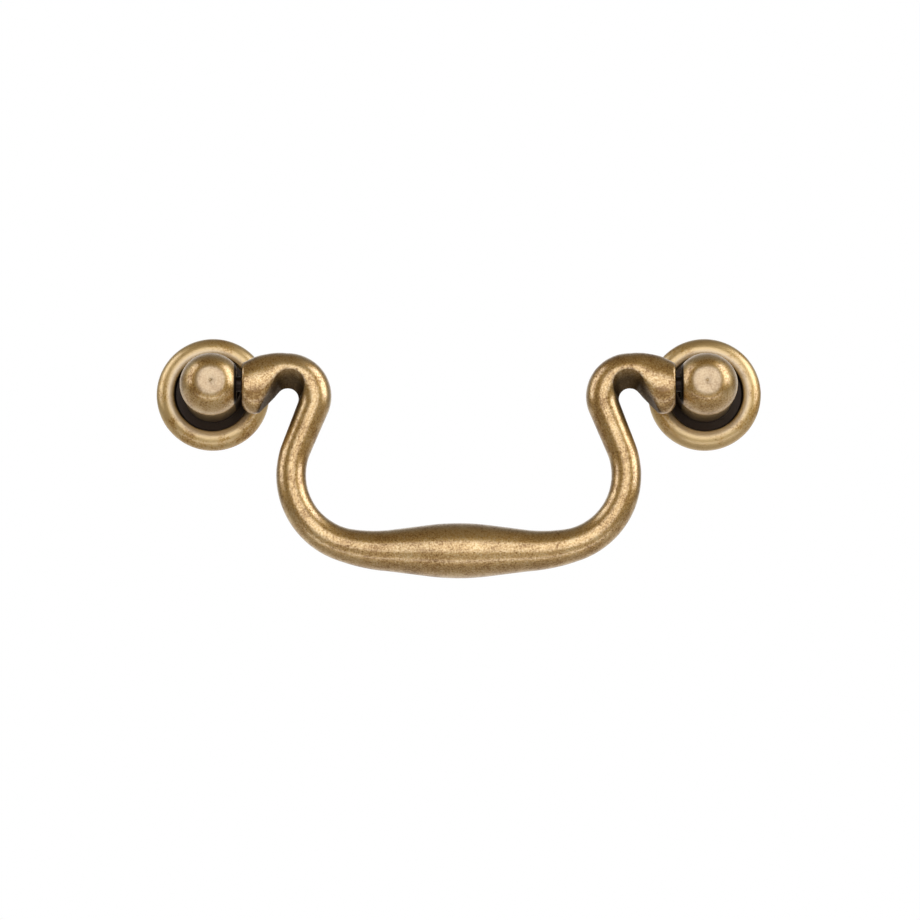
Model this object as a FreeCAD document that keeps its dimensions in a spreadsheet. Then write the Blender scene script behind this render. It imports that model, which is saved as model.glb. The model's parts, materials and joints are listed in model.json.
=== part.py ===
"""Bail pull for a drawer: a cast swan-neck bail swings on two ball-headed posts, each on a round rosette.

Millimetres. The rosettes' backs lie on Y = 0, the pull faces -Y, the posts stand at plus and minus half the
post spacing along X, and Z is up. The bail hangs straight down from its pivot, which runs along X.
"""
import FreeCAD, Part
import math
import os
import re
import Sketcher

V = FreeCAD.Vector
UP = V(0, 0, 1)
TOUCH = 0.001

VALUES = [
    ("post_spacing", 96.0, "between the two screw holes"),
    ("pivot_standoff", 13.0, "pivot axis in front of the rosettes' backs"),
    # Rosette
    ("rosette_radius", 11.0, "outer edge"),
    ("rosette_edge", 0.8, "height of the outer edge"),
    ("ring_round", 2.4, "radius of the ring's convex section"),
    ("lip_radius", 7.55, "inner lip of the ring"),
    ("lip_height", 2.4, "height of the inner lip"),
    ("recess_radius", 7.2, "foot of the lip's inner wall"),
    ("recess_height", 1.1, "floor of the recess above the back"),
    # Post
    ("ball_radius", 6.05, "ball head, centred on the pivot"),
    ("facet_radius", 2.9, "where the front facet's plane would meet the ball"),
    ("facet_round", 3.2, "round between the facet and the ball"),
    ("pip_radius", 0.35, "turning centre's mark in the middle of the facet"),
    ("pip_depth", 0.15, "depth of that mark"),
    ("shank_step", 0.45, "shank's side inside the ball's"),
    ("spigot_radius", 3.5, "spigot in the rosette's hole"),
    ("spigot_clearance", 0.1, "radial room round the spigot"),
    ("tapped_radius", 2.0, "screw hole"),
    ("tapped_depth", 9.0, "screw hole, to the end of its straight wall"),
    ("drill_point", 1.2, "cone at the end of the screw hole"),
    ("flat_distance", 4.9, "post axis to the spot-faced flat"),
    ("flat_radius", 4.25, "spot facing"),
    # Pivot
    ("pin_radius", 1.5, "pivot pin"),
    ("pin_clearance", 0.08, "radial room round the pin"),
    ("pin_end_room", 0.5, "between the pin's end and the bottom of its hole"),
    ("pin_hole_past", 1.0, "pin hole past the post's axis"),
    # Grip
    ("grip_drop", 32.6, "grip's axis below the pivot"),
    ("grip_radius", 5.33, "grip at its middle"),
    ("crown_half", 6.0, "half length of the grip's rounded middle"),
    ("crown_end_radius", 4.945, "bar where the rounded middle ends"),
    ("grip_end_radius", 3.98, "bar at the end of the straight grip"),
    # Bends, in the order the bar runs from the grip to the ear
    ("lead_bend", 32.0, "slight bend that leads into the corner"),
    ("lead_turn", 14.98, "turn of that bend, in degrees"),
    ("lead_end_radius", 3.29, "bar where the corner begins"),
    ("corner_bend", 14.2, "lower corner"),
    ("corner_part", 0.45, "share of the corner's turn at its middle section"),
    ("corner_part_radius", 2.97, "bar at that section"),
    ("corner_end_radius", 2.9, "bar at the foot of the leg"),
    ("leg_lean", 21.93, "leg leans inwards, in degrees from upright"),
    ("leg_end_radius", 3.07, "bar at the top of the leg"),
    ("neck_bend", 5.4, "swan neck"),
    ("neck_part", 0.45, "share of the neck's turn, from its top, at its middle section"),
    ("neck_part_radius", 3.47, "bar at that section"),
    ("neck_top_radius", 3.47, "bar at the top of the neck"),
    ("neck_top_height", 2.58, "top of the neck's centre line above the pivot"),
    # Ear: oval sections at equal steps from the top of the neck to the round end face
    ("ear_gap", 1.1, "end face from the post's flat"),
    ("ear_length", 8.7, "top of the neck to the end face"),
    ("ear_thickness", 8.2, "front to back at the end face"),
    ("ear_height_one", 2.29, "section centres above the pivot"),
    ("ear_height_two", 1.3, ""),
    ("ear_height_three", 0.36, ""),
    ("ear_height_four", -0.15, ""),
    ("ear_height_five", -0.4, ""),
    ("ear_rise_one", 3.85, "sections' half heights"),
    ("ear_rise_two", 4.75, ""),
    ("ear_rise_three", 5.45, ""),
    ("ear_rise_four", 5.6, ""),
    ("ear_rise_five", 5.2, ""),
    ("ear_rim", 0.6, "rounded rim of the end face"),
    # Relief through the inside of the neck and under the ear, narrowest at the bail's middle plane
    ("relief_round", 2.05, "radius of the relief's round end"),
    ("relief_aside", 0.25, "its centre inwards of the neck's own"),
    ("relief_below", 0.08, "its centre below the neck's own"),
    ("relief_slope", 46.0, "ear's sloping underside, in degrees below level"),
    ("relief_lean", 22.0, "side beside the leg, in degrees from upright"),
    ("relief_room", 0.6, "room between that side and the leg at the open end"),
    ("relief_depth", 9.0, "open end below the pivot"),
    # Mouth of the relief, just outside the front and the back of the ear
    ("mouth_past", 0.3, "outside the ear's front or back"),
    ("mouth_round", 3.38, "radius of the mouth's round end"),
    ("mouth_aside", 0.35, "its centre inwards of the relief's own"),
    ("mouth_above", 2.84, "its centre above the relief's own"),
    ("mouth_slope", 64.5, "side under the ear, in degrees below level"),
]
# What follows from the sizes above. Reaches are from the bail's middle, and drops from the pivot.
EAR_FACE = "(post_spacing / 2 - flat_distance - ear_gap)"
NECK_TOP = f"({EAR_FACE} - ear_length)"
LEG_SIN, LEG_COS = "sin(leg_lean * 1 deg)", "cos(leg_lean * 1 deg)"
LEAD_SIN, LEAD_COS = "sin(lead_turn * 1 deg)", "cos(lead_turn * 1 deg)"
BENDS_RISE = (f"(lead_bend * (1 - {LEAD_COS}) + corner_bend * ({LEAD_COS} + {LEG_SIN})"
              f" + neck_bend * (1 + {LEG_SIN}))")
LEG_LENGTH = f"((grip_drop + neck_top_height - {BENDS_RISE}) / {LEG_COS})"
LEG_REACH = (f"({NECK_TOP} - neck_bend * {LEG_COS} + {LEG_LENGTH} * {LEG_SIN}"
             f" + corner_bend * (1 - {LEG_COS}))")
GRIP_HALF = f"({LEG_REACH} - corner_bend - (lead_bend - corner_bend) * {LEAD_SIN})"
RELIEF_REACH = f"({NECK_TOP} - relief_aside)"
RELIEF_DROP = "(neck_bend - neck_top_height + relief_below)"
SHANK = "(ball_radius - shank_step)"
WORDS = re.compile(r"\b(" + "|".join(alias for alias, _, _ in VALUES) + r")\b")

doc = FreeCAD.newDocument("BailPull")
sheet = doc.addObject("Spreadsheet::Sheet", "Values")
for row, (alias, value, note) in enumerate(VALUES, start=1):
    sheet.set(f"A{row}", alias)
    sheet.set(f"B{row}", str(value))
    sheet.set(f"C{row}", note)
    sheet.setAlias(f"B{row}", alias)
doc.recompute()


def in_sheet(text):
    """The expression with each alias written as a cell of the sheet."""
    return WORDS.sub(r"Values.\1", text)


def number(text):
    """What the expression comes to now."""
    return float(sheet.evalExpression(in_sheet(text)))


def new_body(name):
    body = doc.addObject("PartDesign::Body", name)
    body.Label = name
    doc.recompute()
    return body


def plane(body, role):
    return next(f for f in body.Origin.OriginFeatures if f.Role == role)


def new_sketch(body, name, role, **offset):
    """Sketch on one of the body's origin planes, moved within it or off it by the expressions in offset."""
    sketch = body.newObject("Sketcher::SketchObject", name)
    sketch.AttachmentSupport = [(plane(body, role), "")]
    sketch.MapMode = "FlatFace"
    for axis, text in offset.items():
        sketch.setExpression(f"AttachmentOffset.Base.{axis}", in_sheet(text))
    return sketch


def dimension(sketch, kind, where, text):
    index = sketch.addConstraint(Sketcher.Constraint(kind, *where, number(text)))
    sketch.setExpression(f"Constraints[{index}]", in_sheet(text))


def hold(sketch, geometry, point, x, y):
    """Holds a point at two distances from the sketch's origin, or on an axis where a distance is nought."""
    for kind, axis, text in (("DistanceX", -2, x), ("DistanceY", -1, y)):
        if text == "0":
            sketch.addConstraint(Sketcher.Constraint("PointOnObject", geometry, point, axis))
        else:
            dimension(sketch, kind, (-1, 1, geometry, point), text)


def arc_between(start, end, radius):
    """Anticlockwise arc from start to end, bulging to the right of the straight way between them."""
    half = (end - start) * 0.5
    right = V(half.y, -half.x, 0).normalize()
    centre = start + half - right * math.sqrt(radius * radius - half.Length * half.Length)
    circle = Part.Circle(centre, UP, radius)
    return Part.ArcOfCircle(circle, circle.parameter(start), circle.parameter(end))


def outline(sketch, corners, arcs):
    """Closed outline through corners, anticlockwise. arcs gives the radius of each side that bulges out."""
    points = [V(number(x), number(y), 0) for x, y in corners]
    count = len(points)
    for side in range(count):
        start, end = points[side], points[(side + 1) % count]
        if side in arcs:
            sketch.addGeometry(arc_between(start, end, number(arcs[side])))
            dimension(sketch, "Radius", (side,), arcs[side])
        else:
            sketch.addGeometry(Part.LineSegment(start, end))
    for side in range(count):
        sketch.addConstraint(Sketcher.Constraint("Coincident", side, 2, (side + 1) % count, 1))
        hold(sketch, side, 1, *corners[side])


def circle(sketch, radius, x="0", y="0"):
    sketch.addGeometry(Part.Circle(V(number(x), number(y), 0), UP, number(radius)))
    hold(sketch, 0, 3, x, y)
    dimension(sketch, "Radius", (0,), radius)


def oval(sketch, half_width, half_height, y):
    """Ellipse taller than it is wide, on the sketch's vertical axis at height y."""
    at = V(0, number(y), 0)
    top, side = at + V(0, number(half_height), 0), at + V(number(half_width), 0, 0)
    sketch.addGeometry(Part.Ellipse(top, side, at))
    sketch.exposeInternalGeometry(0)
    hold(sketch, 0, 3, "0", y)
    sketch.addConstraint(Sketcher.Constraint("Vertical", 1))
    dimension(sketch, "Distance", (1,), f"2 * ({half_height})")
    dimension(sketch, "Distance", (2,), f"2 * ({half_width})")


def revolve(body, name, sketch, axis):
    feature = body.newObject("PartDesign::Revolution", name)
    feature.Profile = sketch
    feature.ReferenceAxis = (sketch, [axis])
    feature.Angle = 360
    return feature


def make_rosette(name, side):
    """Ring round a sunk floor, turned about the post's axis. side is + or -."""
    body = new_body(name)
    profile = new_sketch(body, name + "_profile", "XY_Plane", x=f"{side}post_spacing / 2")
    outline(profile, [
        ("spigot_radius + spigot_clearance", "0"),
        ("spigot_radius + spigot_clearance", "-recess_height"),
        ("recess_radius", "-recess_height"),
        ("lip_radius", "-lip_height"),
        ("rosette_radius", "-rosette_edge"),
        ("rosette_radius", "0"),
    ], {3: "ring_round"})
    revolve(body, name + "_ring", profile, "V_Axis")
    return body


def make_post(name, side):
    """Ball head, shank and spigot, turned in one, with a flat and a blind pin hole on the inner side."""
    body = new_body(name)
    profile = new_sketch(body, name + "_profile", "XY_Plane", x=f"{side}post_spacing / 2")
    facet_front = "sqrt(ball_radius ^ 2 - facet_radius ^ 2)"
    shank_back = f"sqrt(ball_radius ^ 2 - {SHANK} ^ 2)"
    round_inset = "(ball_radius - facet_round)"
    round_front = f"({facet_front} - facet_round)"
    round_out = f"sqrt({round_inset} ^ 2 - {round_front} ^ 2)"
    outline(profile, [
        ("0", f"-pivot_standoff - {facet_front} + pip_depth"),
        ("pip_radius", f"-pivot_standoff - {facet_front}"),
        (round_out, f"-pivot_standoff - {facet_front}"),
        (f"{round_out} * ball_radius / {round_inset}",
         f"-pivot_standoff - {round_front} * ball_radius / {round_inset}"),
        (SHANK, f"-pivot_standoff + {shank_back}"),
        (SHANK, "-recess_height"),
        ("spigot_radius", "-recess_height"),
        ("spigot_radius", "0"),
        ("tapped_radius", "0"),
        ("tapped_radius", "-tapped_depth"),
        ("0", "-tapped_depth - drill_point"),
    ], {2: "facet_round", 3: "ball_radius"})
    turned = revolve(body, name + "_turned", profile, "V_Axis")
    inner = "-" if side == "+" else ""
    at_flat = f"{side}(post_spacing / 2 - flat_distance)"
    doc.recompute()

    facing = new_sketch(body, name + "_facing", "YZ_Plane", z=at_flat)
    circle(facing, "flat_radius", "-pivot_standoff")
    flat = body.newObject("PartDesign::Pocket", name + "_flat")
    flat.Profile = facing
    flat.setExpression("Length", in_sheet("ball_radius"))
    flat.Reversed = inner == ""
    doc.recompute()

    bore = new_sketch(body, name + "_bore", "YZ_Plane", z=at_flat)
    circle(bore, "pin_radius + pin_clearance", "-pivot_standoff")
    hole = body.newObject("PartDesign::Pocket", name + "_pin_hole")
    hole.Profile = bore
    hole.setExpression("Length", in_sheet("flat_distance + pin_hole_past"))
    hole.Reversed = inner == "-"
    doc.recompute()
    if not turned.Shape.Volume > flat.Shape.Volume + 1 > hole.Shape.Volume + 30:
        raise RuntimeError(name + ": the flat or the pin hole cuts nothing")
    return body


def draw_path(sketch):
    """Centre line of the bail's right half, from the grip's middle to the top of the neck, with no kinks."""
    drop, half, lead, corner = (number(x) for x in ("grip_drop", GRIP_HALF, "lead_bend", "corner_bend"))
    turn, lean = (math.radians(number(x)) for x in ("lead_turn", "leg_lean"))
    neck = number("neck_bend")
    at_lead = V(half, lead - drop, 0)
    at_corner = at_lead + V(math.sin(turn), -math.cos(turn), 0) * (lead - corner)
    at_neck = V(number(NECK_TOP), number("neck_top_height") - neck, 0)
    side = V(math.cos(lean), math.sin(lean), 0)
    down = -math.pi / 2
    sketch.addGeometry(Part.LineSegment(V(0, -drop, 0), V(half, -drop, 0)))
    sketch.addGeometry(Part.ArcOfCircle(Part.Circle(at_lead, UP, lead), down, down + turn))
    sketch.addGeometry(Part.ArcOfCircle(Part.Circle(at_corner, UP, corner), down + turn, lean))
    sketch.addGeometry(Part.LineSegment(at_corner + side * corner, at_neck - side * neck))
    sketch.addGeometry(Part.ArcOfCircle(Part.Circle(at_neck, UP, neck), math.pi / 2, math.pi + lean))
    hold(sketch, 0, 1, "0", "-grip_drop")
    hold(sketch, 0, 2, GRIP_HALF, "-grip_drop")
    for first, end, second, start in ((0, 2, 1, 1), (1, 2, 2, 1), (2, 2, 3, 1), (3, 2, 4, 2)):
        sketch.addConstraint(Sketcher.Constraint("Tangent", first, end, second, start))
    for geometry, bend in ((1, "lead_bend"), (2, "corner_bend"), (4, "neck_bend")):
        dimension(sketch, "Radius", (geometry,), bend)
    dimension(sketch, "DistanceX", (-1, 1, 2, 3), LEG_REACH + " - corner_bend")
    hold(sketch, 4, 1, NECK_TOP, "neck_top_height")
    dimension(sketch, "DistanceX", (-1, 1, 4, 3), NECK_TOP)


def draw_relief(sketch, reach, drop, radius, slope):
    """Outline across the relief: open below, round above, sloping under the ear and leaning beside the leg."""
    beside_x = f"{reach} - {radius} * cos(relief_lean * 1 deg)"
    beside_z = f"-{drop} - {radius} * sin(relief_lean * 1 deg)"
    under_x = f"{reach} + {radius} * sin({slope} * 1 deg)"
    under_z = f"-{drop} + {radius} * cos({slope} * 1 deg)"
    beside_run = f"(relief_depth + {beside_z}) * tan(relief_lean * 1 deg)"
    under_run = f"(relief_depth + {under_z}) / tan({slope} * 1 deg)"
    outline(sketch, [
        (f"{beside_x} + {beside_run} + relief_room", "-relief_depth"),
        (f"{under_x} + {under_run}", "-relief_depth"),
        (under_x, under_z),
        (beside_x, beside_z),
    ], {2: radius})


def make_bail(name):
    body = new_body(name)

    # Grip, right half: from the rounded middle down a slight cone, turned about the grip's own axis
    grip_profile = new_sketch(body, "grip_profile", "XZ_Plane", y="-grip_drop")
    rise = "(grip_radius - crown_end_radius)"
    outline(grip_profile, [
        ("0", "0"),
        (GRIP_HALF, "0"),
        (GRIP_HALF, "grip_end_radius"),
        ("crown_half", "crown_end_radius"),
        ("0", "grip_radius"),
    ], {3: f"(crown_half ^ 2 + {rise} ^ 2) / (2 * {rise})"})
    revolve(body, "grip", grip_profile, "H_Axis")

    # Bends: round bar whose radius changes along each part of the path
    path = new_sketch(body, "path", "XZ_Plane")
    draw_path(path)
    doc.recompute()
    bends = {
        "lead": ("Edge2", [("0", "grip_end_radius"), ("1", "lead_end_radius")]),
        "corner": ("Edge3", [("0", "lead_end_radius"), ("corner_part", "corner_part_radius"),
                             ("1", "corner_end_radius")]),
        "leg": ("Edge4", [("0", "corner_end_radius"), ("1", "leg_end_radius")]),
        "neck": ("Edge5", [("0", "neck_top_radius"), ("neck_part", "neck_part_radius"),
                           ("1", "leg_end_radius")]),
    }
    for bend, (edge, sections) in bends.items():
        drawn = []
        for place, radius in sections:
            section = body.newObject("Sketcher::SketchObject", f"{bend}_section_{len(drawn) + 1}")
            section.AttachmentSupport = [(path, edge)]
            section.MapMode = "NormalToEdge"
            section.setExpression("MapPathParameter", in_sheet(place))
            circle(section, radius)
            drawn.append(section)
        doc.recompute()
        pipe = body.newObject("PartDesign::AdditivePipe", bend)
        pipe.Profile = drawn[0]
        pipe.Spine = (path, [edge])
        pipe.Sections = [(section, [""]) for section in drawn[1:]]
        pipe.Transformation = "Multisection"
        doc.recompute()

    # Ear: grows out of the top of the neck, tall and flattened, to a round end face
    ovals = [("ear_height_one", "ear_rise_one"), ("ear_height_two", "ear_rise_two"),
             ("ear_height_three", "ear_rise_three"), ("ear_height_four", "ear_rise_four"),
             ("ear_height_five", "ear_rise_five")]
    last = len(ovals) + 1
    drawn = []
    for step in range(last + 1):
        share = (1 - math.cos(math.pi * step / last)) / 2
        section = new_sketch(body, f"ear_section_{step + 1}", "YZ_Plane",
                             z=f"{NECK_TOP} + ear_length * {step} / {last}")
        if step == 0:
            circle(section, "neck_top_radius", "0", "neck_top_height")
        elif step == last:
            circle(section, "ear_thickness / 2")
        else:
            height, rise = ovals[step - 1]
            half = f"neck_top_radius + (ear_thickness / 2 - neck_top_radius) * {share:.3f}"
            oval(section, half, rise, height)
        drawn.append(section)
    doc.recompute()
    ear = body.newObject("PartDesign::AdditiveLoft", "ear")
    ear.Profile = drawn[0]
    ear.Sections = [(section, [""]) for section in drawn[1:]]
    doc.recompute()

    # Relief: from the bail's middle plane it opens to a wider, higher mouth at the front and at the back
    middle = new_sketch(body, "relief_middle", "XZ_Plane")
    draw_relief(middle, RELIEF_REACH, RELIEF_DROP, "relief_round", "relief_slope")
    mouths = []
    for where, sign in (("back", "-"), ("front", "+")):
        mouth = new_sketch(body, f"relief_{where}", "XZ_Plane", z=f"{sign}(ear_thickness / 2 + mouth_past)")
        draw_relief(mouth, f"({RELIEF_REACH} - mouth_aside)", f"({RELIEF_DROP} - mouth_above)",
                    "mouth_round", "mouth_slope")
        mouths.append(mouth)
    doc.recompute()
    cut = body.newObject("PartDesign::SubtractiveLoft", "relief")
    cut.Profile = mouths[0]
    cut.Sections = [(middle, [""]), (mouths[1], [""])]
    cut.Ruled = True
    doc.recompute()
    if not cut.Shape.Volume < ear.Shape.Volume - 1:
        raise RuntimeError("the relief cuts nothing")

    # Pin: stands out of the ear's end face, cast in one with it
    pin_root = new_sketch(body, "pin_outline", "YZ_Plane", z=f"{EAR_FACE} - pin_radius")
    circle(pin_root, "pin_radius")
    pin = body.newObject("PartDesign::Pad", "pin")
    pin.Profile = pin_root
    pin_length = "pin_radius + ear_gap + flat_distance + pin_hole_past - pin_end_room"
    pin.setExpression("Length", in_sheet(pin_length))
    doc.recompute()

    # Rim: the outer edge of the ear's end face, rounded
    face, pin_room = number(EAR_FACE), number("pin_radius") + TOUCH
    edges = [f"Edge{i}" for i, edge in enumerate(pin.Shape.Edges, start=1)
             if edge.BoundBox.XLength < TOUCH and abs(edge.BoundBox.XMin - face) < TOUCH
             and edge.BoundBox.YLength > 2 * pin_room]
    rim = body.newObject("PartDesign::Fillet", "ear_rim")
    rim.Base = (pin, edges)
    rim.setExpression("Radius", in_sheet("ear_rim"))
    doc.recompute()

    both = body.newObject("PartDesign::Mirrored", "both_halves")
    both.TransformMode = "Whole shape"
    both.MirrorPlane = (plane(body, "YZ_Plane"), [""])
    body.Tip = both
    doc.recompute()
    body.setExpression("Placement.Base.y", in_sheet("-pivot_standoff"))
    return body


bodies = [make_bail("bail")]
for word, sign in (("left", "-"), ("right", "+")):
    bodies += [make_rosette("rosette_" + word, sign), make_post("post_" + word, sign)]
doc.recompute()

for item in doc.Objects:
    if {"Invalid", "Error"} & set(item.State):
        raise RuntimeError(f"{item.Name}: {item.State}")
for body in bodies:
    shape = body.Shape
    if shape.isNull() or not shape.isValid() or len(shape.Solids) != 1:
        raise RuntimeError(f"{body.Label}: no single valid solid")
os.makedirs("parts", exist_ok=True)
for body in bodies:
    body.Shape.exportStep(f"parts/{body.Label}.step")
    print(body.Label, round(body.Shape.Volume, 1), "cubic mm")
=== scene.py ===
"""Looks of a swan-neck bail pull in antiqued brass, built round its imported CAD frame. Metres, Z up, facing -Y."""
import json
import math
from functools import cached_property

import bpy
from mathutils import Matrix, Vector


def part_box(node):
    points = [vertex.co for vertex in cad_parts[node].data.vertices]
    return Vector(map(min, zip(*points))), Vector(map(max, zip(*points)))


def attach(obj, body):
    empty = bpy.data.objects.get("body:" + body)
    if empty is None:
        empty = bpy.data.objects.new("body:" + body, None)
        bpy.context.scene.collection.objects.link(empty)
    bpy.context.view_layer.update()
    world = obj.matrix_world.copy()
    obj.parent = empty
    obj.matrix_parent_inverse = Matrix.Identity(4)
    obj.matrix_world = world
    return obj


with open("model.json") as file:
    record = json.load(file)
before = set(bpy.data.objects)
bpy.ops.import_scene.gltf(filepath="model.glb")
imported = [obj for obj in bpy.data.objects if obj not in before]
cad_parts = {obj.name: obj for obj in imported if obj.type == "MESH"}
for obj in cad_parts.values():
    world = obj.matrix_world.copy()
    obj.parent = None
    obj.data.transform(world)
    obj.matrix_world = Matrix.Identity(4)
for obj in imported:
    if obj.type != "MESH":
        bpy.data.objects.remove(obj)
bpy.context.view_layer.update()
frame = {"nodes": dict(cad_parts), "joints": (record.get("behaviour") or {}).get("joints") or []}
MM = 0.001

# Places taken from the frame, in millimetres like all the sizes of the looks
PIVOT_Y = frame["joints"][0]["pos_m"][1] / MM
post_low, post_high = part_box("post_right")
POST_X = post_low.x / MM + (post_high.x - post_low.x) / MM / 2


class Graph:
    """Nodes of a material or a world. Most methods add a node and return the output that is wanted."""

    def __init__(self, owner, shader):
        owner.use_nodes = True
        self.owner = owner
        self.tree = owner.node_tree
        self.shader = self.tree.nodes[shader]

    def link(self, socket, value):
        if isinstance(value, bpy.types.NodeSocket):
            self.tree.links.new(value, socket)
        else:
            socket.default_value = value

    def fill(self, node, values):
        """Link or set the node's inputs. An input's name has underscores for its spaces."""
        for key, value in values.items():
            self.link(node.inputs[key.replace("_", " ")], value)

    def shade(self, **values):
        """Link or set the shader's inputs."""
        self.fill(self.shader, values)

    def add(self, kind, out=0, settings=None, **values):
        node = self.tree.nodes.new("ShaderNode" + kind)
        for key, value in (settings or {}).items():
            setattr(node, key, value)
        self.fill(node, values)
        return node.outputs[out]

    def math(self, operation, *values):
        node = self.tree.nodes.new("ShaderNodeMath")
        node.operation = operation
        for socket, value in zip(node.inputs, values):
            self.link(socket, value)
        return node.outputs[0]

    def chain(self, operation, values):
        """The values taken together, from left to right."""
        result = values[0]
        for value in values[1:]:
            result = self.math(operation, result, value)
        return result

    def plus(self, *values):
        return self.chain("ADD", values)

    def minus(self, first, second):
        return self.math("SUBTRACT", first, second)

    def times(self, *values):
        return self.chain("MULTIPLY", values)

    def largest(self, *values):
        return self.chain("MAXIMUM", values)

    def absolute(self, value):
        return self.math("ABSOLUTE", value)

    def between(self, share, first, second):
        """From first to second, two numbers, as share goes from nought to one."""
        return self.math("MULTIPLY_ADD", share, second - first, first)

    def distance(self, a, b):
        return self.math("SQRT", self.plus(self.math("POWER", a, 2.0), self.math("POWER", b, 2.0)))

    def ramp(self, value, start, end, low=0.0, high=1.0):
        """low where value is start, high where it is end, eased between them and held outside."""
        return self.add("MapRange", settings={"interpolation_type": "SMOOTHSTEP"}, Value=value,
                        From_Min=start, From_Max=end, To_Min=low, To_Max=high)

    def mix(self, share, first, second):
        """From the first colour to the second."""
        return self.add("Mix", out="Result", settings={"data_type": "RGBA"}, Factor=share, A=first, B=second)

    def noise(self, size, detail=2.0, roughness=0.5):
        """Noise from nought to one whose features are about size millimetres across."""
        return self.add("TexNoise", Vector=self.place, Scale=1 / size, Detail=detail, Roughness=roughness)

    @cached_property
    def place(self):
        """Place on the piece, at rest, in millimetres."""
        return self.add("VectorMath", settings={"operation": "SCALE"},
                        Vector=self.add("TexCoord", out="Object"), Scale=1 / MM)

    @cached_property
    def parts(self):
        """The place's three parts."""
        return tuple(self.add("SeparateXYZ", Vector=self.place).node.outputs)


# Brass, as linear colours: rubbed bright, plain, tarnished and in the pits
BURNISHED = (0.58, 0.408, 0.168, 1)
BRASS = (0.465, 0.28, 0.075, 1)
TARNISHED = (0.272, 0.144, 0.033, 1)
PITTED = (0.13, 0.068, 0.023, 1)

# Dark patina of the hollows with painted shade in the recesses and gaps, bare metal on the balls' facets, and a worn
# lip round the rosettes' recesses, painted pale also as a highlight
SOOT_AND_SHADE = (0.032, 0.0215, 0.014, 1)
FACET_WORN = (0.36, 0.262, 0.15, 1)
LIP_WORN_AND_HIGHLIGHT = (0.5, 0.41, 0.28, 1)

# Noises of the patina: size, detail and roughness, then the shares of the first three in the tarnish
SPECKLE = (0.34, 2.0, 0.6)
MOTTLE = (2.6, 3.0, 0.55)
CLOUD = (11.0, 2.0)
PITTING = (0.45, 2.0)
SPECKLE_SHARE, MOTTLE_SHARE, CLOUD_SHARE = 0.5, 0.3, 0.2

# Ramps of the patina, here and below: where it starts and ends, and the values there if they aren't nought and one
RUBBED_TARNISH = (0.50, 0.40)
BROWNED_TARNISH = (0.50, 0.60)
PIT_NOISE = (0.54, 0.70)
PIT_TARNISH = (0.42, 0.54)
FEWEST_PITS = 0.15

# Roughness of the metal, which grows with the tarnish and with soot and painted shade
ROUGH_TARNISH = (0.36, 0.66)
SMOOTHEST, ROUGHEST = 0.31, 0.46
SOOT_AND_SHADE_ROUGHENS = 0.12

# Fine relief of the surface: shares of its height, and the depth in all
SPECKLE_HEIGHT, MOTTLE_HEIGHT, PIT_HEIGHT = 0.8, 1.6, 0.5
SURFACE_DEPTH = 0.009

# Worn edges catch the light over about this radius
EDGE_ROUND = 0.35
EDGE_SAMPLES = 6

# Wax, which is thinner on soot and painted shade, in the pits and on browned metal
WAX_ON_SOOT_AND_SHADE = 0.06
WAX_IN_PITS = (0.0, 0.6, 1.0, 0.15)
WAX_ON_BROWNED = (0.0, 1.0, 1.0, 0.5)
WAX_ROUGHNESS = 0.22
WAX_IOR = 1.8


def antiqued_brass(name, hollows, wear_and_light, bare=None, worn=BURNISHED, satin=0.0, pits=0.55, waxed=1.0):
    """Waxed brass with a mottled, speckled patina. The first function given says where the dark patina lies together
    with painted shade, and the second is above nought where the brass is browner and below where it is rubbed bright,
    and carries painted light and shade as well. bare(graph) gives where the patina is worn through to the colour worn,
    on the rosettes' lips also a painted highlight. satin is added to the roughness, pits is how strongly the darkest
    specks show, and waxed is the weight of the wax."""
    graph = Graph(bpy.data.materials.new(name), "Principled BSDF")
    speckle, mottle, cloud = (graph.noise(*kind) for kind in (SPECKLE, MOTTLE, CLOUD))
    # The tarnish also takes in the painted light and shade that the second function adds
    tarnish = graph.plus(graph.times(speckle, SPECKLE_SHARE), graph.times(mottle, MOTTLE_SHARE),
                         graph.times(cloud, CLOUD_SHARE), wear_and_light(graph))
    rubbed = graph.ramp(tarnish, *RUBBED_TARNISH)
    browned = graph.ramp(tarnish, *BROWNED_TARNISH)
    pitted = graph.times(graph.ramp(graph.noise(*PITTING), *PIT_NOISE),
                         graph.ramp(tarnish, *PIT_TARNISH, FEWEST_PITS, pits))
    soot_and_shade = hollows(graph)

    colour = graph.mix(rubbed, BRASS, BURNISHED)
    colour = graph.mix(browned, colour, TARNISHED)
    colour = graph.mix(pitted, colour, PITTED)
    if bare:
        colour = graph.mix(bare(graph), colour, worn)
    # Dark patina and painted shade in the hollows and gaps
    colour = graph.mix(soot_and_shade, colour, SOOT_AND_SHADE)

    roughness = graph.plus(graph.ramp(tarnish, *ROUGH_TARNISH, SMOOTHEST + satin, ROUGHEST + satin),
                           graph.times(soot_and_shade, SOOT_AND_SHADE_ROUGHENS))
    height = graph.minus(graph.plus(graph.times(speckle, SPECKLE_HEIGHT), graph.times(mottle, MOTTLE_HEIGHT)),
                         graph.times(pitted, PIT_HEIGHT))
    rounded = graph.add("Bevel", settings={"samples": EDGE_SAMPLES}, Radius=EDGE_ROUND * MM)
    normal = graph.add("Bump", Strength=1.0, Distance=SURFACE_DEPTH * MM, Height=height, Normal=rounded)
    wax = graph.times(graph.ramp(soot_and_shade, 0.0, 1.0, waxed, WAX_ON_SOOT_AND_SHADE), graph.ramp(pitted, *WAX_IN_PITS),
                      graph.ramp(browned, *WAX_ON_BROWNED))
    graph.shade(Base_Color=colour, Metallic=1.0, Roughness=roughness, Normal=normal,
                Coat_Weight=wax, Coat_Roughness=WAX_ROUGHNESS, Coat_IOR=WAX_IOR)
    return graph.owner


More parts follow.
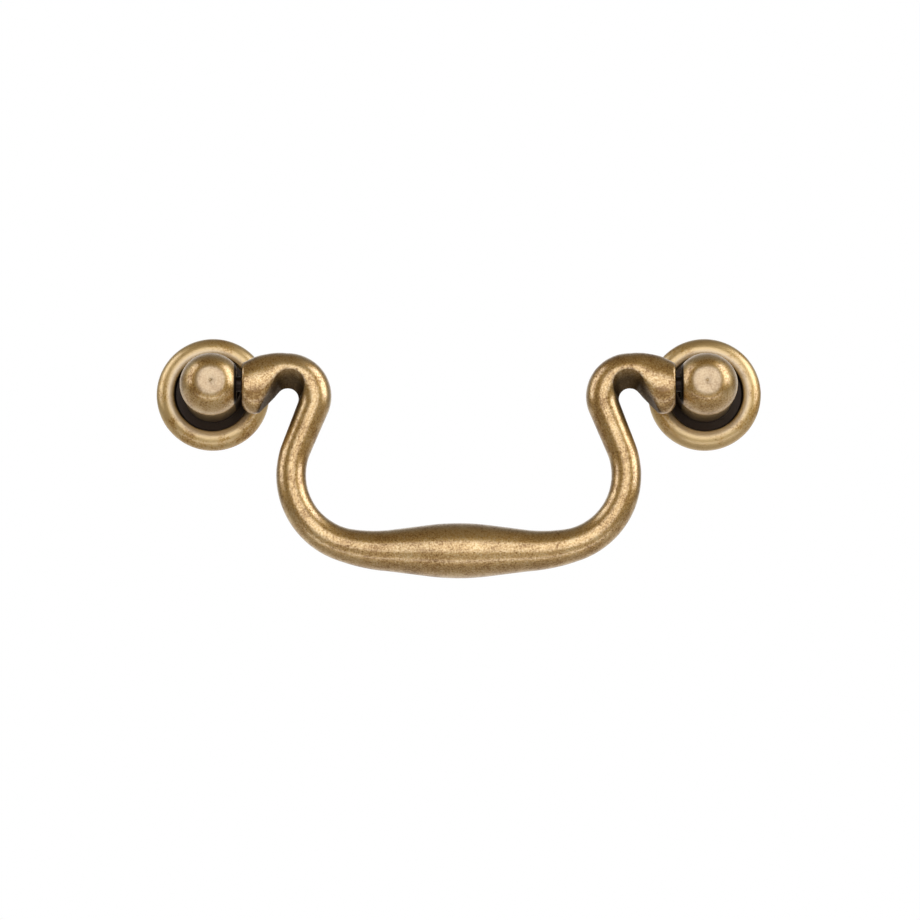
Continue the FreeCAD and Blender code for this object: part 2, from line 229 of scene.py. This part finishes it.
# Relief inside the bail's neck: centre, radius and slope in the bail's middle plane, directions of the tangents that
# stand for its round, and how all that has changed at its mouths, which lie MOUTH_DEPTH in front and behind
RELIEF_CENTRE = (33.05, -2.9)
RELIEF_ROUND = 2.05
RELIEF_SLOPE = 46.0
RELIEF_TANGENTS = (202, 167, 132, 97, 62)
MOUTH_DEPTH = 4.4
MOUTH_CENTRE = (RELIEF_CENTRE[0] - 0.35, RELIEF_CENTRE[1] + 2.84)
MOUTH_ROUND = 3.38
MOUTH_SLOPE = 64.5

# Bail's dark patina with painted shade: past the relief's wall, with a ragged edge, up the leg and towards the mouths,
# and painted shade on the ears' ends, in the gaps beside the posts
WALL_SOOT_AND_SHADE = (0.55, -0.05)
RAGGED_SIZE = 0.9
RAGGED_REACH = 0.25
LEG_SOOT_AND_SHADE = (-9.0, -5.0)
MOUTH_SOOT_AND_SHADE = (0.85, 0.4, 0.4, 0.88)
EAR_END_SHADE = (41.75, 41.98)

# Painted shade: a browner patch low on each ear's front, where it turns down: centre, and ramp outwards from it
EAR_SHADE_CENTRE = (39.6, -2.4)
EAR_SHADE_RAMP = (2.4, 0.4, 0.0, 0.09)


def relief_wall(graph):
    """How far a place lies out of the relief, which opens from the bail's middle plane to a mouth at the front and
    at the back, and how near to a mouth it lies, from nought to one."""
    x, y, z = graph.parts
    depth = graph.math("DIVIDE", graph.absolute(graph.minus(y, PIVOT_Y)), MOUTH_DEPTH)
    across = graph.minus(graph.absolute(x), graph.between(depth, RELIEF_CENTRE[0], MOUTH_CENTRE[0]))
    up = graph.minus(z, graph.between(depth, RELIEF_CENTRE[1], MOUTH_CENTRE[1]))
    sides = [graph.plus(graph.times(across, math.cos(turn)), graph.times(up, math.sin(turn)))
             for turn in map(math.radians, RELIEF_TANGENTS)]
    slope = graph.between(depth, math.radians(RELIEF_SLOPE), math.radians(MOUTH_SLOPE))
    sides.append(graph.plus(graph.times(across, graph.math("SINE", slope)),
                            graph.times(up, graph.math("COSINE", slope))))
    return graph.minus(graph.largest(*sides), graph.between(depth, RELIEF_ROUND, MOUTH_ROUND)), depth


# Dark patina with painted shade in the relief inside the neck, and painted shade on the ears' ends
def bail_soot_and_shade(graph):
    x, _, z = graph.parts
    out, depth = relief_wall(graph)
    edge = graph.between(graph.noise(RAGGED_SIZE), -RAGGED_REACH, RAGGED_REACH)
    relief = graph.times(graph.ramp(graph.plus(out, edge), *WALL_SOOT_AND_SHADE), graph.ramp(z, *LEG_SOOT_AND_SHADE),
                         graph.ramp(depth, *MOUTH_SOOT_AND_SHADE))
    return graph.largest(relief, graph.ramp(graph.absolute(x), *EAR_END_SHADE))


# Painted shade low on the front of each ear
def bail_painted_shade(graph):
    x, _, z = graph.parts
    from_ear_shade = graph.distance(graph.minus(graph.absolute(x), EAR_SHADE_CENTRE[0]), graph.minus(z, EAR_SHADE_CENTRE[1]))
    return graph.ramp(from_ear_shade, *EAR_SHADE_RAMP)


# Posts, back from the pivots: painted shade on the shank's foot, under the rosette's ring, and on the flat in the gap
# beside the ear by its distance from the axis
SHANK_SHADE = (PIVOT_Y + 9.5, PIVOT_Y + 12.5)
FLAT_SHADE = (4.6, 4.88)

# Browner ring round the facet, by its front and its back, painted light on the shank, which is painted brighter, and
# bare facet
RING_FRONT = (PIVOT_Y - 5.2, PIVOT_Y - 4.9)
RING_BACK = (PIVOT_Y - 4.0, PIVOT_Y - 4.7, 0.0, 0.04)
SHANK_PAINTED_LIGHT = (PIVOT_Y + 2.0, PIVOT_Y + 4.5, -0.04, -0.16)
FACET_BARE = (PIVOT_Y - 4.95, PIVOT_Y - 5.3, 0.0, 0.62)


# Painted shade on the shank's foot and on the flat beside the ear
def post_painted_shade(graph):
    x, y, _ = graph.parts
    return graph.largest(graph.ramp(y, *SHANK_SHADE), graph.ramp(graph.minus(POST_X, graph.absolute(x)), *FLAT_SHADE))


def post_ring_and_light(graph):
    """A browner ring round the facet, and painted light on the shank, which is painted brighter as if rubbed."""
    _, y, _ = graph.parts
    ring = graph.times(graph.ramp(y, *RING_FRONT), graph.ramp(y, *RING_BACK))
    # The shank's brighter colour is painted light
    return graph.plus(ring, graph.ramp(y, *SHANK_PAINTED_LIGHT))


def post_bare(graph):
    _, y, _ = graph.parts
    return graph.ramp(y, *FACET_BARE)


# Rosettes, by the distance from the post's axis and, for the front, by Y: dark patina and painted shade in the recess,
# and a bare lip round it, painted pale also as a highlight
RECESS_SOOT_AND_SHADE = (7.8, 7.15)
RECESS_FRONT = (-0.05, -0.3)
LIP_INSIDE = (7.4, 7.8)
LIP_OUTSIDE = (9.0, 8.0)
LIP_FRONT = (-0.2, -0.5, 0.0, 0.7)

# Rubbed patches at the front: noise, ramp on it, and where the front begins
PATCHES = (4.5, 3.0)
PATCH_WEAR = (0.38, 0.62, -0.205, -0.03)
PATCH_FRONT = (-0.1, -0.6)


def round_post(graph):
    """Distance from the axis of the nearer post."""
    x, _, z = graph.parts
    return graph.distance(graph.minus(graph.absolute(x), POST_X), z)


# Dark patina with painted shade in the recess
def rosette_soot_and_shade(graph):
    _, y, _ = graph.parts
    return graph.times(graph.ramp(round_post(graph), *RECESS_SOOT_AND_SHADE), graph.ramp(y, *RECESS_FRONT))


def rosette_wear(graph):
    """Rubbed in patches at the front, as cast at the back."""
    _, y, _ = graph.parts
    return graph.times(graph.ramp(graph.noise(*PATCHES), *PATCH_WEAR), graph.ramp(y, *PATCH_FRONT))


# Worn lip round the recess, painted pale also as a highlight
def rosette_bare_and_highlight(graph):
    _, y, _ = graph.parts
    radius = round_post(graph)
    return graph.times(graph.ramp(radius, *LIP_INSIDE), graph.ramp(radius, *LIP_OUTSIDE), graph.ramp(y, *LIP_FRONT))


BRASSES = {
    "bail": antiqued_brass("bail_brass", bail_soot_and_shade, bail_painted_shade),
    "post": antiqued_brass("post_brass", post_painted_shade, post_ring_and_light, post_bare, FACET_WORN, satin=0.04, waxed=0.8),
    "rosette": antiqued_brass("rosette_brass", rosette_soot_and_shade, rosette_wear, rosette_bare_and_highlight, LIP_WORN_AND_HIGHLIGHT,
                              satin=0.12, pits=0.3, waxed=0.55),
}

# Smooth shading: how near the borders of two CAD faces are welded, and the angle in degrees from which an edge is sharp
WELD = 0.0005
SHARP_ANGLE = 32


def smooth_shading():
    """Node group that welds the CAD faces' borders and shades smooth, apart from sharp edges."""
    group = bpy.data.node_groups.new("smooth_shading", "GeometryNodeTree")
    group.interface.new_socket("Geometry", in_out="INPUT", socket_type="NodeSocketGeometry")
    group.interface.new_socket("Geometry", in_out="OUTPUT", socket_type="NodeSocketGeometry")
    new, link = group.nodes.new, group.links.new
    start, end = new("NodeGroupInput"), new("NodeGroupOutput")
    weld, faces, edges = (new("GeometryNode" + kind) for kind in
                          ("MergeByDistance", "SetShadeSmooth", "SetShadeSmooth"))
    weld.inputs["Distance"].default_value = WELD * MM
    edges.domain = "EDGE"
    edges.inputs["Shade Smooth"].default_value = False
    angle, sharp = new("GeometryNodeInputMeshEdgeAngle"), new("ShaderNodeMath")
    sharp.operation = "GREATER_THAN"
    sharp.inputs[1].default_value = math.radians(SHARP_ANGLE)
    link(start.outputs[0], weld.inputs["Geometry"])
    link(weld.outputs[0], faces.inputs["Geometry"])
    link(faces.outputs[0], edges.inputs["Geometry"])
    link(angle.outputs["Unsigned Angle"], sharp.inputs[0])
    link(sharp.outputs[0], edges.inputs["Selection"])
    link(edges.outputs[0], end.inputs[0])
    return group


shading = smooth_shading()
for name, piece in frame["nodes"].items():
    if "custom_normal" in piece.data.attributes:
        piece.data.attributes.remove(piece.data.attributes["custom_normal"])
    piece.modifiers.new("smooth_shading", "NODES").node_group = shading
    piece.data.materials.clear()
    piece.data.materials.append(BRASSES[name.split("_")[0]])

# Threads of the two screw holes: a ridge that winds up each hole, its root just in the wall. Foot and tip are half the
# ridge's width there, as shares of the pitch, and steps are those in one turn
THREAD_PITCH = 0.7
THREAD_ROOT = 2.02
THREAD_CREST = 1.62
THREAD_FOOT = 0.42
THREAD_TIP = 0.08
THREAD_ENDS = (-0.5, -8.6)
THREAD_STEPS = 48


def thread(name, x):
    turns = (THREAD_ENDS[0] - THREAD_ENDS[1]) / THREAD_PITCH
    steps = round(turns * THREAD_STEPS)
    section = [(THREAD_ROOT, -THREAD_FOOT), (THREAD_CREST, -THREAD_TIP),
               (THREAD_CREST, THREAD_TIP), (THREAD_ROOT, THREAD_FOOT)]
    points, faces = [], []
    for step in range(steps + 1):
        turn = 2 * math.pi * step / THREAD_STEPS
        y = THREAD_ENDS[0] - THREAD_PITCH * step / THREAD_STEPS
        for radius, rise in section:
            points.append((x + radius * MM * math.cos(turn), (y + rise * THREAD_PITCH) * MM,
                           radius * MM * math.sin(turn)))
    count = len(section)
    for step in range(steps):
        for side in range(count):
            a, b = step * count + side, step * count + (side + 1) % count
            faces.append((a, b, b + count, a + count))
    faces += [tuple(range(count))[::-1], tuple(steps * count + side for side in range(count))]
    mesh = bpy.data.meshes.new(name)
    mesh.from_pydata(points, [], faces)
    mesh.materials.append(BRASSES["post"])
    piece = bpy.data.objects.new(name, mesh)
    bpy.context.scene.collection.objects.link(piece)
    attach(piece, "base")


thread("thread_left", -POST_X * MM)
thread("thread_right", POST_X * MM)

WHITE = (1, 1, 1, 1)

# Floor, far below the part, which is held at its screw holes as on a drawer front. It glows for the camera, to white
# at a distance, and for reflections that look towards the back
FLOOR_Z = -0.55
FLOOR_SIZE = 8
FLOOR_COLOUR = (0.5, 0.47, 0.43, 1)
FLOOR_ROUGHNESS = 0.8
CAMERA_GLOW = (300.0, 1500.0, 0.86, 1.0)
REFLECTED_GLOW = (0.0, 800.0, 0.05, 0.6)
bpy.ops.mesh.primitive_plane_add(size=FLOOR_SIZE, location=(0, 0, FLOOR_Z))
floor = bpy.context.object
floor.name = "floor"
paint = Graph(bpy.data.materials.new("floor_paint"), "Principled BSDF")
floor_x, floor_y, _ = paint.parts
seen = paint.times(paint.add("LightPath", out="Is Camera Ray"),
                   paint.ramp(paint.distance(floor_x, floor_y), *CAMERA_GLOW))
reflected = paint.times(paint.add("LightPath", out="Is Glossy Ray"), paint.ramp(floor_y, *REFLECTED_GLOW))
paint.shade(Base_Color=FLOOR_COLOUR, Roughness=FLOOR_ROUGHNESS, Emission_Color=WHITE,
            Emission_Strength=paint.largest(seen, reflected))
floor.data.materials.append(paint.owner)

# Lamps: azimuth from the viewer's side, positive to the viewer's right, and elevation in degrees, then distance, width
# and height in metres, and watts
LAMP_COLOUR = (0.935, 0.98, 1.12)
LIT_PLACE = Vector((0, PIVOT_Y * MM, -0.012))
SOFTBOXES = {
    "key": (3, 8, 1.2, 1.15, 1.1, 7.8),
    "left": (-80, 28, 1.2, 0.7, 1.2, 5.8),
    "right": (72, 28, 1.2, 0.8, 1.2, 10.8),
    "low": (0, -56, 0.62, 1.4, 0.14, 1.1),
}


def softbox(name, azimuth, elevation, distance, width, height, watts):
    """Area lamp that faces the part."""
    lamp = bpy.data.lights.new(name, "AREA")
    lamp.shape = "RECTANGLE"
    lamp.size, lamp.size_y, lamp.energy = width, height, watts
    lamp.color = LAMP_COLOUR
    box = bpy.data.objects.new(name, lamp)
    turn, rise = math.radians(azimuth), math.radians(elevation)
    way = Vector((math.sin(turn) * math.cos(rise), -math.cos(turn) * math.cos(rise), math.sin(rise)))
    box.location = LIT_PLACE + way * distance
    box.rotation_euler = way.to_track_quat("Z", "Y").to_euler()
    box.visible_camera = False
    bpy.context.scene.collection.objects.link(box)


for name, setting in SOFTBOXES.items():
    softbox(name, *setting)

# World: white for the camera, and for reflections that look straight back. Elsewhere it is dim, and warm in front
BEHIND = (0.5, 1.0, 0.245, 1.0)
NEUTRAL = (-0.1, 0.6, 0.2, 1.0)
WARM = (1, 0.73, 0.38, 1)
world = bpy.data.worlds.new("studio")
bpy.context.scene.world = world
sky = Graph(world, "Background")
back = sky.add("SeparateXYZ", out="Y", Vector=sky.add("TexCoord", out="Generated"))
camera_ray = sky.add("LightPath", out="Is Camera Ray")
sky.shade(Strength=sky.largest(sky.ramp(back, *BEHIND), camera_ray),
          Color=sky.mix(sky.largest(sky.ramp(back, *NEUTRAL), camera_ray), WARM, WHITE))

# Camera: from a little below, as in the photograph, with the width in metres that it takes in at the place aimed at
VIEW_UP = 9.0
VIEW_DISTANCE = 1.43
VIEW_WIDTH = 0.17976
SENSOR_WIDTH = 36
AIM = Vector((0.246, 1.98, -12.5)) * MM
camera = bpy.data.cameras.new("camera")
camera.sensor_width = SENSOR_WIDTH
camera.lens = SENSOR_WIDTH * VIEW_DISTANCE / VIEW_WIDTH
viewer = bpy.data.objects.new("camera", camera)
view_rise = math.radians(VIEW_UP)
viewer.location = AIM - VIEW_DISTANCE * Vector((0, math.cos(view_rise), math.sin(view_rise)))
viewer.rotation_euler = (math.pi / 2 + view_rise, 0, 0)
bpy.context.scene.collection.objects.link(viewer)
bpy.context.scene.camera = viewer
bpy.context.scene.view_settings.view_transform = "Standard"
